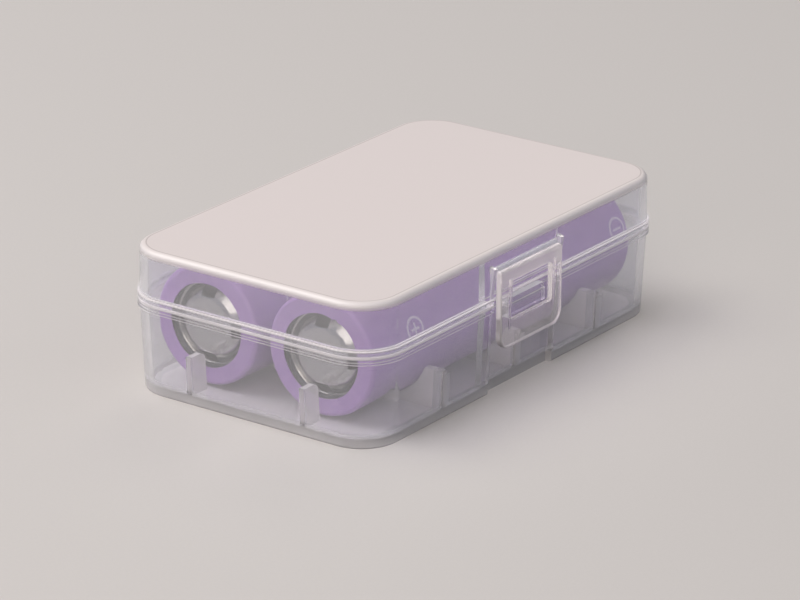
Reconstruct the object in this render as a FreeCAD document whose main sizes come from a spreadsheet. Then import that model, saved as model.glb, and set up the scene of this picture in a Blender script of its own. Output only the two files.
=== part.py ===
# Clear hinged case for two cylindrical cells, with the two cells lying in it.
#
# The case is moulded in clear polypropylene: a ribbed tray, a lid on two thin hinge webs
# at the back, and a latch flap on a third web at the front of the lid. Each cell is a
# steel can in a shrunk sleeve, with the pieces that a cylindrical cell has inside.
#
# Frame: +X along the long side, away from the cells' positive ends. +Z is up, -Y is the
# latch side, and the origin is the middle of the tray's flat bottom. Lengths are in mm.

import FreeCAD, Part
import Sketcher
import math
import os
import re

doc = FreeCAD.newDocument("cell_case")
sheet = doc.addObject("Spreadsheet::Sheet", "Sizes")

SIZES = (
    # the cells, and the room that the case leaves them
    ("cell_diameter", "18.5", "over the sleeve"),
    ("cell_length", "65.8", "over the sleeve"),
    ("cell_gap", "2.16", "between the two cells"),
    ("cell_back", "0.8", "middle of the pair behind the middle of the case"),
    ("cell_shift", "0.8", "middle of the cells and of what holds them, towards +X of the case's"),
    ("cell_lift", "0.45", "cell above the tray floor"),
    ("end_space", "4.0", "end of a centred cell to the wall's inner face, at the parting line"),
    ("side_space", "2.12", "side of a centred pair to the wall's inner face, at the parting line"),
    ("parting_rise", "3.2", "parting line above the cells' axes"),
    ("head_room", "1.15", "cells to the lid's roof"),
    # the shell
    ("corner_round", "6.9", "plan radius of the four corners"),
    ("wall", "1.2", "moulded wall"),
    ("bottom_thick", "1.3", "tray floor"),
    ("roof_thick", "1.2", "lid roof"),
    ("base_lean", "0.7", "how far each tray wall leans in at the bottom"),
    ("lid_lean", "0.15", "how far each lid wall leans in at the roof"),
    ("foot_round", "0.5", "edge between tray wall and bottom"),
    ("roof_round", "1.0", "edge between lid wall and roof"),
    ("rim_proud", "0.3", "how far the two rims stand out from the walls"),
    ("base_rim", "0.95", "height of the tray's rim"),
    ("lid_rim", "1.1", "height of the lid's rim"),
    ("lip_height", "1.0", "locating lip above the parting line"),
    ("lip_thick", "0.5", "locating lip"),
    ("lip_gap", "0.15", "clearance round the lip"),
    # the latch bay and what is in it
    ("bay_depth", "1.1", "recess behind the wall's outer face"),
    ("bay_top", "5.1", "roof of the lid's recess above the parting line"),
    ("catch_width", "10.0", "catch on the tray"),
    ("catch_gap", "0.17", "catch tip to the back of the released flap"),
    ("catch_height", "2.6", "catch, bottom to top"),
    ("catch_nose", "1.4", "upright front of the catch"),
    ("catch_step", "0.15", "top of the catch below the parting line"),
    ("ear_thick", "0.7", "ears beside the flap"),
    ("ear_reach", "0.8", "ear tip in front of the wall"),
    ("ear_top", "6.0", "ear tip above the parting line"),
    ("shelf_reach", "0.12", "shelf that carries the latch web, in front of the wall"),
    ("shelf_thick", "0.85", "shelf that carries the latch web"),
    ("flap_width", "16.0", "latch flap"),
    ("flap_gap", "0.35", "flap to each side of the recess"),
    ("flap_thick", "0.9", "latch flap"),
    ("flap_drop", "7.0", "flap's lower edge below the parting line"),
    ("flap_round", "2.3", "lower corners of the flap"),
    ("flap_edge", "0.25", "small round on the flap's front edge"),
    ("flap_shoulder", "0.6", "round at the top of the flap's front"),
    ("window_gap", "0.4", "clearance beside the catch in the window"),
    ("window_under", "0.15", "clearance under the catch in the window"),
    ("window_above", "3.3", "window's upper edge above the parting line"),
    ("window_round", "0.7", "corners of the window"),
    ("guide_thick", "0.45", "tapered ribs beside the window"),
    ("guide_reach", "0.45", "tapered ribs, at their upper end"),
    ("guide_top", "3.7", "upper end above the parting line"),
    ("guide_drop", "4.4", "pointed lower end below the parting line"),
    # the hinge webs
    ("latch_web_thick", "0.25", "web between lid and flap"),
    ("latch_web_bend", "0.3", "inner bend of the latch web"),
    ("hinge_web_width", "14.0", "each web between tray and lid"),
    ("hinge_web_thick", "0.3", "webs between tray and lid"),
    ("hinge_web_bend", "0.8", "middle bend radius of the closed web"),
    ("hinge_inset", "4.2", "each web from the end of the straight part of the wall"),
    # what holds the cells
    ("rib_thick", "1.1", "cross ribs"),
    ("rib_pitch", "20.0", "cross ribs"),
    ("rib_drop", "3.6", "top of the ribs below the cells' axes"),
    ("cradle_gap", "0.2", "between a cell and its cradle"),
    ("fin_thick", "0.9", "end stops"),
    ("end_play", "0.5", "foot of an end stop to the end of a cell"),
    ("fin_lean", "0.45", "how far the end stop's free edge leans back at the top"),
    ("fin_drop", "3.7", "top of the end stops below the cells' axes"),
    ("fin_round", "1.3", "free top corner of an end stop"),
    ("sink_width", "8.0", "shallow sink in the floor under each cell"),
    ("sink_inset", "0.6", "each end of a sink inside the end of its cell"),
    ("sink_depth", "0.3", "shallow sink in the floor under each cell"),
    # what a cell is made of
    ("sleeve_thick", "0.12", "shrunk sleeve"),
    ("sleeve_round", "0.7", "eased edge of the sleeve"),
    ("sleeve_turn", "2.85", "the sleeve's turned-in ring at each end"),
    ("can_wall", "0.25", "steel can"),
    ("can_bottom", "0.3", "steel can"),
    ("seat_gap", "0.02", "between pieces that are pressed together in the cell"),
    ("crimp_turn", "2.35", "width of the can's turned-in rim"),
    ("crimp_thick", "0.5", "the can's turned-in rim"),
    ("groove_width", "1.3", "beading groove"),
    ("groove_depth", "0.9", "beading groove"),
    ("ring_thick", "0.2", "insulating ring on the positive end"),
    ("ring_inset", "0.1", "insulating ring's hole outside the sleeve's opening"),
    ("seal_wall", "0.6", "gasket's side"),
    ("seal_lip", "0.7", "gasket's inward lips"),
    ("seal_turn", "2.5", "width of the gasket's lips"),
    ("cap_thick", "0.4", "positive cap"),
    ("cap_sunk", "0.2", "flat middle of the cap below the sleeve's end face"),
    ("cap_top", "8.6", "flat middle of the cap"),
    ("cap_foot", "12.1", "foot of the cap's slope"),
    ("cap_bend", "0.25", "flat metal taken up by the bend at each end of the slope"),
    ("vent_width", "2.4", "vent slots in the cap's slope"),
    ("ptc_thick", "0.35", "current-limiting ring"),
    ("ptc_hole", "7.0", "current-limiting ring"),
    ("disc_thick", "0.3", "burst disc"),
    ("disc_dish", "0.5", "dish in the burst disc"),
    ("disc_flat", "4.0", "flat middle of the burst disc"),
    ("guard_thick", "0.3", "insulators above and below the winding"),
    ("guard_hole", "3.0", "insulators above and below the winding"),
    ("roll_clear", "0.15", "round the winding"),
    ("roll_bore", "3.2", "bore of the winding"),
    ("overrun", "1.0", "how far a cut runs past what it cuts"),
)

# The case is made round its cells, so its outer sizes follow from theirs.
DERIVED = (
    ("cell_pitch", "=cell_diameter + cell_gap", "between the two cells' axes"),
    ("cell_axis", "=bottom_thick + cell_lift + cell_diameter / 2", "cells' axes above the bottom face"),
    ("case_length", "=cell_length + 2 * (end_space + wall)", "outside, at the parting line"),
    ("case_width", "=cell_diameter + cell_pitch + 2 * (side_space + wall)", "outside, at the parting line"),
    ("base_height", "=cell_axis + parting_rise", "bottom face to parting line"),
    ("lid_height", "=cell_diameter / 2 - parting_rise + head_room + roof_thick", "parting line to roof"),
    ("rib_top", "=cell_axis - rib_drop", "top of the ribs above the bottom face"),
    ("fin_top", "=cell_axis - fin_drop", "top of the end stops above the bottom face"),
    ("bay_width", "=flap_width + 2 * flap_gap", "recess for the latch, in tray and lid"),
    ("catch_reach", "=bay_depth + shelf_reach + latch_web_bend - catch_gap", "catch tip before the recess"),
    ("hinge_web_pitch", "=case_length - 2 * (corner_round + hinge_inset) - hinge_web_width", "between webs"),
)

for row, (alias, content, note) in enumerate(SIZES + DERIVED, start=1):
    sheet.set("A%d" % row, alias)
    sheet.set("B%d" % row, content)
    sheet.setAlias("B%d" % row, alias)
    sheet.set("C%d" % row, note)
doc.recompute()

NAMES = {alias for alias, content, note in SIZES + DERIVED}


def bound(formula):
    """The formula with each size's name turned into a reference to its cell."""
    return re.sub(r"[a-z_]+", lambda word: "Sizes." + word[0] if word[0] in NAMES else word[0], formula)


def size(alias):
    """The worked-out value of a named size, in mm."""
    return float(sheet.get(alias))


# Derived places that several pieces share, as formulas of the named sizes.
HALF_WIDTH = "(case_width / 2)"
BAY_FACE = "(case_width / 2 - bay_depth)"
CELL_RADIUS = "(cell_diameter / 2)"
CATCH_BOTTOM = "(base_height - catch_step - catch_height)"
SHELF_FACE = "(case_width / 2 + shelf_reach)"
FLAP_TOP = "(base_height + bay_top + shelf_thick - latch_web_thick - latch_web_bend)"
RIM_BACK = "(case_width / 2 + rim_proud)"


def new_body(name, x="0", y="0", z="0"):
    body = doc.addObject("PartDesign::Body", name)
    body.Label = name
    for axis, formula in zip("xyz", (x, y, z)):
        if formula != "0":
            body.setExpression("Placement.Base." + axis, bound(formula))
    return body


def new_sketch(body, name, plane, lift="0"):
    """An empty sketch on one of the body's own origin planes, lifted along its normal."""
    sketch = body.newObject("Sketcher::SketchObject", body.Label + "_" + name)
    face = next(item for item in body.Origin.OriginFeatures if item.Role == plane)
    sketch.AttachmentSupport = [(face, "")]
    sketch.MapMode = "FlatFace"
    sketch.setExpression(".AttachmentOffset.Base.z", bound(lift))
    return sketch


def add_polygon(sketch, corners):
    """A closed outline through corners, each held by its two distances from the origin."""
    first = len(sketch.Geometry)
    count = len(corners)
    turn = 2 * math.pi / count
    ring = [FreeCAD.Vector(math.cos(i * turn), math.sin(i * turn), 0) for i in range(count)]
    for i in range(count):
        sketch.addGeometry(Part.LineSegment(ring[i], ring[(i + 1) % count]), False)
    for i in range(count):
        sketch.addConstraint(Sketcher.Constraint("Coincident", first + i, 2, first + (i + 1) % count, 1))
    for i, corner in enumerate(corners):
        for kind, formula in zip(("DistanceX", "DistanceY"), corner):
            index = sketch.addConstraint(Sketcher.Constraint(kind, first + i, 1, 1.0))
            sketch.setExpression("Constraints[%d]" % index, bound(formula))


def add_circle(sketch, x, y, radius):
    """A circle held by its centre's two distances from the origin and its radius."""
    index = sketch.addGeometry(Part.Circle(FreeCAD.Vector(0, 0, 0), FreeCAD.Vector(0, 0, 1), 1.0), False)
    for kind, formula in (("DistanceX", x), ("DistanceY", y)):
        place = sketch.addConstraint(Sketcher.Constraint(kind, index, 3, 1.0))
        sketch.setExpression("Constraints[%d]" % place, bound(formula))
    span = sketch.addConstraint(Sketcher.Constraint("Radius", index, 1.0))
    sketch.setExpression("Constraints[%d]" % span, bound(radius))


def add_rounded(sketch, half_x, half_y, radius):
    """A centred rectangle with round corners: four arcs joined by four tangent lines."""
    signs = ((1, 1), (-1, 1), (-1, -1), (1, -1))
    quarter = math.pi / 2
    up = FreeCAD.Vector(0, 0, 1)
    for i, (x, y) in enumerate(signs):
        circle = Part.Circle(FreeCAD.Vector(2 * x, y, 0), up, 1.0)
        sketch.addGeometry(Part.ArcOfCircle(circle, i * quarter, (i + 1) * quarter), False)
    for i in range(4):
        line = Part.LineSegment(sketch.Geometry[i].EndPoint, sketch.Geometry[(i + 1) % 4].StartPoint)
        sketch.addGeometry(line, False)
        sketch.addConstraint(Sketcher.Constraint("Tangent", i, 2, i + 4, 1))
        sketch.addConstraint(Sketcher.Constraint("Tangent", i + 4, 2, (i + 1) % 4, 1))
    for i, (x, y) in enumerate(signs):
        for kind, sign, half in (("DistanceX", x, half_x), ("DistanceY", y, half_y)):
            index = sketch.addConstraint(Sketcher.Constraint(kind, i, 3, 1.0))
            formula = "(" + half + " - " + radius + ")"
            sketch.setExpression("Constraints[%d]" % index, bound(formula if sign > 0 else "-" + formula))
        index = sketch.addConstraint(Sketcher.Constraint("Radius", i, 1.0))
        sketch.setExpression("Constraints[%d]" % index, bound(radius))


def rectangle(x_low, x_high, y_low, y_high):
    return [(x_low, y_low), (x_high, y_low), (x_high, y_high), (x_low, y_high)]


def polygon_sketch(body, name, plane, corners, lift="0"):
    sketch = new_sketch(body, name, plane, lift)
    add_polygon(sketch, corners)
    return sketch


def rounded_sketch(body, name, outset, lift="0"):
    """The case's outline at the parting line, moved outwards by outset, its corners with it."""
    sketch = new_sketch(body, name, "XY_Plane", lift)
    add_rounded(sketch, "(case_length / 2 + " + outset + ")", "(case_width / 2 + " + outset + ")",
                "(corner_round + " + outset + ")")
    return sketch


def extruded(kind, body, name, sketch, length, symmetric, reverse, draft):
    feature = body.newObject("PartDesign::" + kind, body.Label + "_" + name)
    feature.Profile = sketch
    feature.setExpression("Length", bound(length))
    feature.SideType = "Symmetric" if symmetric else "One side"
    feature.Reversed = reverse
    if draft:
        feature.setExpression("TaperAngle", bound(draft))
    return feature


def pad(body, name, sketch, length, symmetric=False, reverse=False, draft=None):
    """The sketch extruded along its normal, its sides spreading by the angle draft."""
    return extruded("Pad", body, name, sketch, length, symmetric, reverse, draft)


def pocket(body, name, sketch, length, symmetric=False, reverse=False, draft=None):
    """The sketch cut against its normal, its sides spreading by the angle draft."""
    return extruded("Pocket", body, name, sketch, length, symmetric, reverse, draft)


def revolve(body, name, sketch, angle=None):
    """The sketch turned about its own horizontal axis, a whole turn where no angle is given."""
    feature = body.newObject("PartDesign::Revolution", body.Label + "_" + name)
    feature.Profile = sketch
    feature.ReferenceAxis = (sketch, ["H_Axis"])
    feature.Angle = angle or 360
    return feature


def rounded(body, name, base, radius, wanted):
    """A fillet on the edges of the feature base that the test wanted picks."""
    doc.recompute()
    names = ["Edge%d" % i for i, edge in enumerate(base.Shape.Edges, start=1) if wanted(edge)]
    feature = body.newObject("PartDesign::Fillet", body.Label + "_" + name)
    feature.Base = (base, names)
    feature.setExpression("Radius", bound(radius))
    return feature


def pattern(body, name, feature, plane_axis, length, count):
    doc.recompute()
    copies = body.newObject("PartDesign::LinearPattern", body.Label + "_" + name)
    copies.Originals = [feature]
    line = next(item for item in body.Origin.OriginFeatures if item.Role == plane_axis)
    copies.Direction = (line, [""])
    copies.setExpression("Length", bound(length))
    copies.Occurrences = count
    body.Tip = copies
    return copies


# How close an edge has to be to a place to count as lying there.
NEAR = 0.2


def at_height(edge, height):
    return abs(edge.BoundBox.ZMin - height) < NEAR / 2 and abs(edge.BoundBox.ZMax - height) < NEAR / 2


def has_size(value, target):
    return abs(value - target) < NEAR / 2


# Tray: a thin shell with a rim round its mouth and a lip inside it that finds the lid.
# Cross ribs cradle the cells, fins stop their ends, and the latch bay is let into one side.
tray = new_body("base_tray")
TRAY_DRAFT = "atan(base_lean / base_height)"
shell = pad(tray, "shell", rounded_sketch(tray, "shell_outline", "(-base_lean)"), "base_height",
            draft=TRAY_DRAFT)
rounded(tray, "foot", shell, "foot_round", lambda edge: at_height(edge, 0))
pad(tray, "rim", rounded_sketch(tray, "rim_outline", "rim_proud", "base_height - base_rim"), "base_rim")
pad(tray, "lip", rounded_sketch(tray, "lip_outline", "(lip_thick - wall)", "base_height"), "lip_height")
pocket(tray, "cavity", rounded_sketch(tray, "cavity_outline", "(-wall)", "base_height + lip_height"),
       "base_height + lip_height - bottom_thick", draft="-" + TRAY_DRAFT)

sink_sketch = new_sketch(tray, "sinks_outline", "XY_Plane", "bottom_thick")
for side in ("-", "+"):
    axis_y = "cell_back " + side + " cell_pitch / 2"
    add_polygon(sink_sketch, rectangle("cell_shift - (cell_length / 2 - sink_inset)",
                                       "cell_shift + cell_length / 2 - sink_inset",
                                       axis_y + " - sink_width / 2", axis_y + " + sink_width / 2"))
pocket(tray, "sinks", sink_sketch, "sink_depth")

rib = pad(tray, "rib", polygon_sketch(
    tray, "rib_outline", "YZ_Plane",
    rectangle("-(case_width / 2 - base_lean - wall / 2)", "case_width / 2 - base_lean - wall / 2",
              "bottom_thick / 2", "rib_top"), "cell_shift - rib_pitch"), "rib_thick", symmetric=True)
pattern(tray, "ribs", rib, "X_Axis", "2 * rib_pitch", 3)

BLOCK_HALF = "(bay_width / 2 + wall)"
BAY_HALF = "(bay_width / 2)"
pad(tray, "bay_block", polygon_sketch(
    tray, "bay_block_outline", "YZ_Plane",
    [("-(case_width / 2 - base_lean - wall / 2)", "0"), ("-(" + BAY_FACE + " - base_lean - wall)", "0"),
     ("-(" + BAY_FACE + " - wall)", "base_height"), ("-(case_width / 2 - wall / 2)", "base_height")]),
    "2 * " + BLOCK_HALF, symmetric=True)
BAY_MOUTH = "-(case_width / 2 + rim_proud + overrun)"
pocket(tray, "bay", polygon_sketch(
    tray, "bay_outline", "YZ_Plane",
    [(BAY_MOUTH, "0"), ("-(" + BAY_FACE + " - base_lean)", "0"), ("-" + BAY_FACE, "base_height"),
     (BAY_MOUTH, "base_height")]), "bay_width", symmetric=True)
pocket(tray, "lip_notch", polygon_sketch(
    tray, "lip_notch_outline", "XY_Plane",
    rectangle("-(bay_width / 2 + wall + lip_gap)", "bay_width / 2 + wall + lip_gap", BAY_MOUTH,
              "-(" + BAY_FACE + " - wall - lip_gap)"), "base_height"), "lip_height + overrun", reverse=True)

cradle_sketch = new_sketch(tray, "cradles_outline", "YZ_Plane", "cell_shift")
for side in ("-", "+"):
    add_circle(cradle_sketch, "cell_back " + side + " cell_pitch / 2", "cell_axis",
               CELL_RADIUS + " + cradle_gap")
pocket(tray, "cradles", cradle_sketch, "2 * (rib_pitch + rib_thick)", symmetric=True)

fin_sketch = new_sketch(tray, "fin_outline", "XZ_Plane", "-(cell_back - cell_pitch / 2)")
FIN_WALL = "(case_length / 2 - base_lean - wall / 2)"
FIN_FOOT = "(cell_length / 2 + end_play)"
for side in ("-", "+"):
    foot = "cell_shift " + side + " " + FIN_FOOT
    wall_end = "0 " + side + " " + FIN_WALL
    add_polygon(fin_sketch, [(wall_end, "bottom_thick / 2"), (foot, "bottom_thick / 2"),
                             (foot + " " + side + " fin_lean", "fin_top"), (wall_end, "fin_top")])
fin = pad(tray, "fin", fin_sketch, "fin_thick", symmetric=True)
fins = pattern(tray, "fins", fin, "Y_Axis", "cell_pitch", 2)
fin_end = size("cell_length") / 2 + size("end_play") + size("fin_lean")
rounded(tray, "fin_tops", fins, "fin_round",
        lambda edge: has_size(edge.BoundBox.YLength, size("fin_thick")) and at_height(edge, size("fin_top"))
        and abs(abs(edge.BoundBox.Center.x - size("cell_shift")) - fin_end) < NEAR)

CATCH_TIP = "-(" + BAY_FACE + " + catch_reach)"
CATCH_ROOT = "-(" + BAY_FACE + " - base_lean - wall / 2)"
pad(tray, "catch", polygon_sketch(
    tray, "catch_outline", "YZ_Plane",
    [(CATCH_ROOT, CATCH_BOTTOM), (CATCH_TIP, CATCH_BOTTOM), (CATCH_TIP, CATCH_BOTTOM + " + catch_nose"),
     ("-" + HALF_WIDTH, "base_height - catch_step"), (CATCH_ROOT, "base_height - catch_step")]),
    "catch_width", symmetric=True)

# Lid: the same walls turned over, with a rebate for the tray's lip. Its half of the latch
# bay ends under a shelf, which carries the latch web between two leaning ears.
lid = new_body("lid_shell")
LID_DRAFT = "-atan(lid_lean / lid_height)"
lid_block = pad(lid, "shell", rounded_sketch(lid, "shell_outline", "0", "base_height"), "lid_height",
                draft=LID_DRAFT)
roof = size("base_height") + size("lid_height")
rounded(lid, "roof_edge", lid_block, "roof_round", lambda edge: at_height(edge, roof))
pad(lid, "rim", rounded_sketch(lid, "rim_outline", "rim_proud", "base_height"), "lid_rim")
pocket(lid, "cavity", rounded_sketch(lid, "cavity_outline", "(-wall)", "base_height"),
       "lid_height - roof_thick", reverse=True, draft=LID_DRAFT)
pocket(lid, "rebate", rounded_sketch(lid, "rebate_outline", "(lip_thick + lip_gap - wall)", "base_height"),
       "lip_height + lip_gap", reverse=True)
pad(lid, "bay_block", polygon_sketch(
    lid, "bay_block_outline", "XY_Plane",
    rectangle("-" + BLOCK_HALF, BLOCK_HALF, "-(case_width / 2 - wall / 3)", "-(" + BAY_FACE + " - wall)"),
    "base_height"), "lid_height - roof_thick / 2")
pocket(lid, "bay", polygon_sketch(
    lid, "bay_outline", "XY_Plane", rectangle("-" + BAY_HALF, BAY_HALF, BAY_MOUTH, "-" + BAY_FACE),
    "base_height"), "bay_top", reverse=True)
pad(lid, "shelf", polygon_sketch(
    lid, "shelf_outline", "YZ_Plane",
    rectangle("-" + SHELF_FACE, "-(case_width / 2 - wall / 3)", "base_height + bay_top",
              "base_height + bay_top + shelf_thick")), "bay_width", symmetric=True)
ear = pad(lid, "ear", polygon_sketch(
    lid, "ear_outline", "YZ_Plane",
    [("-(case_width / 2 - wall / 3)", "base_height"), ("-" + HALF_WIDTH, "base_height"),
     ("-(case_width / 2 + ear_reach)", "base_height + ear_top"),
     ("-(case_width / 2 - wall / 3)", "base_height + ear_top + ear_reach / 2")], BAY_HALF), "ear_thick")
doc.recompute()
ears = lid.newObject("PartDesign::Mirrored", "lid_shell_ears")
ears.Originals = [ear]
ears.MirrorPlane = (next(item for item in lid.Origin.OriginFeatures if item.Role == "YZ_Plane"), [""])
lid.Tip = ears

# Latch flap: a plate whose window closes over the tray's catch, with two tapered guide ribs.
# Its own origin is the middle of the top edge of its back face.
flap = new_body("latch_flap", y="-(" + SHELF_FACE + " + latch_web_bend)", z=FLAP_TOP)
FLAP_HALF = "(flap_width / 2)"
plate = pad(flap, "plate", polygon_sketch(
    flap, "plate_outline", "XZ_Plane",
    rectangle("-" + FLAP_HALF, FLAP_HALF, "base_height - flap_drop - " + FLAP_TOP, "0")), "flap_thick")
lower = -(size("bay_top") + size("shelf_thick") - size("latch_web_thick") - size("latch_web_bend")
          + size("flap_drop"))
lower_corners = rounded(flap, "lower_corners", plate, "flap_round",
                        lambda edge: has_size(edge.BoundBox.YLength, size("flap_thick"))
                        and at_height(edge, lower))
front = rounded(flap, "front_edge", lower_corners, "flap_edge",
                lambda edge: edge.BoundBox.YMax < -size("flap_thick") / 2 and edge.BoundBox.ZMin < lower / 2)
shoulder = rounded(flap, "shoulder", front, "flap_shoulder",
                   lambda edge: at_height(edge, 0) and edge.BoundBox.XLength > size("catch_width")
                   and edge.BoundBox.YMax < -size("flap_thick") / 2)
WINDOW_HALF = "(catch_width / 2 + window_gap)"
window = pocket(flap, "window", polygon_sketch(
    flap, "window_outline", "XZ_Plane",
    rectangle("-" + WINDOW_HALF, WINDOW_HALF, CATCH_BOTTOM + " - window_under - " + FLAP_TOP,
              "base_height + window_above - " + FLAP_TOP)), "2 * (flap_thick + overrun)", symmetric=True)
window_half = size("catch_width") / 2 + size("window_gap")
rounded(flap, "window_corners", window, "window_round",
        lambda edge: has_size(edge.BoundBox.YLength, size("flap_thick")) and edge.BoundBox.ZLength < NEAR
        and abs(abs(edge.BoundBox.Center.x) - window_half) < NEAR)
guide = pad(flap, "guide", polygon_sketch(
    flap, "guide_outline", "YZ_Plane",
    [("-flap_thick / 2", "base_height + guide_top - " + FLAP_TOP),
     ("-(flap_thick + guide_reach)", "base_height + guide_top - " + FLAP_TOP),
     ("-flap_thick", "base_height - guide_drop - " + FLAP_TOP),
     ("-flap_thick / 2", "base_height - guide_drop - " + FLAP_TOP)],
    WINDOW_HALF + " + guide_thick"), "guide_thick", symmetric=True)
doc.recompute()
guides = flap.newObject("PartDesign::Mirrored", "latch_flap_guides")
guides.Originals = [guide]
guides.MirrorPlane = (next(item for item in flap.Origin.OriginFeatures if item.Role == "YZ_Plane"), [""])
flap.Tip = guides

# Latch web: a quarter bend from the shelf's front face down to the flap's top.
latch_web = new_body("latch_hinge_web", y="-" + SHELF_FACE, z=FLAP_TOP)
web_bend = revolve(latch_web, "bend", polygon_sketch(
    latch_web, "outline", "XY_Plane",
    rectangle("-(flap_width / 2 - flap_edge)", "flap_width / 2 - flap_edge",
              "-(latch_web_bend + latch_web_thick)", "-latch_web_bend")), 90)
web_bend.Reversed = True

# Hinge webs: two half bends behind the rims, which lie flat when the lid is laid right back.
for name, side in (("hinge_web_left", "-"), ("hinge_web_right", "")):
    web = new_body(name, x=side + "hinge_web_pitch / 2", y=RIM_BACK, z="base_height")
    revolve(web, "bend", polygon_sketch(
        web, "outline", "XZ_Plane",
        rectangle("-hinge_web_width / 2", "hinge_web_width / 2",
                  "-(hinge_web_bend + hinge_web_thick / 2)", "-(hinge_web_bend - hinge_web_thick / 2)")), 180)

# Cells: every piece is turned about the cell's own axis, with its positive end towards -X.
# Places run inward from the sleeve's positive end face.
FRONT = "-cell_length / 2"
CAN_RADIUS = "(cell_diameter / 2 - sleeve_thick - seat_gap)"
BORE_RADIUS = "(cell_diameter / 2 - sleeve_thick - seat_gap - can_wall)"
CAN_FRONT = "(-cell_length / 2 + sleeve_thick + ring_thick)"
CAN_BACK = "(cell_length / 2 - sleeve_thick)"
CRIMP_HOLE = "(" + CAN_RADIUS + " - crimp_turn)"
SEAL_FRONT = "(" + CAN_FRONT + " + crimp_thick + seat_gap)"
SEAL_RADIUS = "(" + BORE_RADIUS + " - seat_gap)"
SEAL_HOLE = "(" + SEAL_RADIUS + " - seal_turn)"
STACK_RADIUS = "(" + SEAL_RADIUS + " - seal_wall - seat_gap)"
CAP_RIM = "(" + SEAL_FRONT + " + seal_lip + seat_gap)"
PTC_FRONT = "(" + CAP_RIM + " + cap_thick + seat_gap)"
DISC_FRONT = "(" + PTC_FRONT + " + ptc_thick + seat_gap)"
SEAL_BACK = "(" + DISC_FRONT + " + disc_thick + seat_gap + seal_lip)"
GROOVE_FRONT = "(" + SEAL_BACK + " + seat_gap)"
GROOVE_BACK = "(" + GROOVE_FRONT + " + groove_width)"
GUARD_RADIUS = "(" + BORE_RADIUS + " - roll_clear)"
ROLL_FRONT = "(" + GROOVE_BACK + " + guard_thick + 2 * seat_gap)"
ROLL_BACK = "(" + CAN_BACK + " - can_bottom - guard_thick - 2 * seat_gap)"
CAP_FACE = "(-cell_length / 2 + cap_sunk)"


def cap_slope(offset, inset):
    """The cap's two bends, as points of one side of its slope, moved back by offset and in by inset."""
    bend_share, rise, run = "0.2", "(" + CAP_RIM + " - " + CAP_FACE + ")", "(cap_foot - cap_top) / 2"
    return [(CAP_FACE + offset, "cap_top / 2 - cap_bend" + inset),
            (CAP_FACE + " + " + bend_share + " * " + rise + offset,
             "cap_top / 2 + " + bend_share + " * " + run + inset),
            (CAP_RIM + " - " + bend_share + " * " + rise + offset,
             "cap_foot / 2 - " + bend_share + " * " + run + inset),
            (CAP_RIM + offset, "cap_foot / 2 + cap_bend" + inset)]


def washer(x_low, x_high, hole, rim):
    return rectangle(x_low, x_high, hole, rim)


# How much of an edge's round its middle point stands in from the corner.
EASE_SHARE = "(1 - sqrt(0.5))"


def eased(face, rim, ease, inward):
    """Three points from an end face to a rim that take the edge off a turned corner."""
    step = " " + inward + " "
    return [(face, rim + " - " + ease),
            (face + step + EASE_SHARE + " * " + ease, rim + " - " + EASE_SHARE + " * " + ease),
            (face + step + ease, rim)]


CELL_END = "cell_length / 2"
SLEEVE_HOLE = "(cell_diameter / 2 - sleeve_turn)"
SLEEVE_FRONT = FRONT + " + sleeve_thick"
SLEEVE_BACK = CELL_END + " - sleeve_thick"
SLEEVE_BORE = CELL_RADIUS + " - sleeve_thick"
INNER_EASE = "(sleeve_round - sleeve_thick)"

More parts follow.
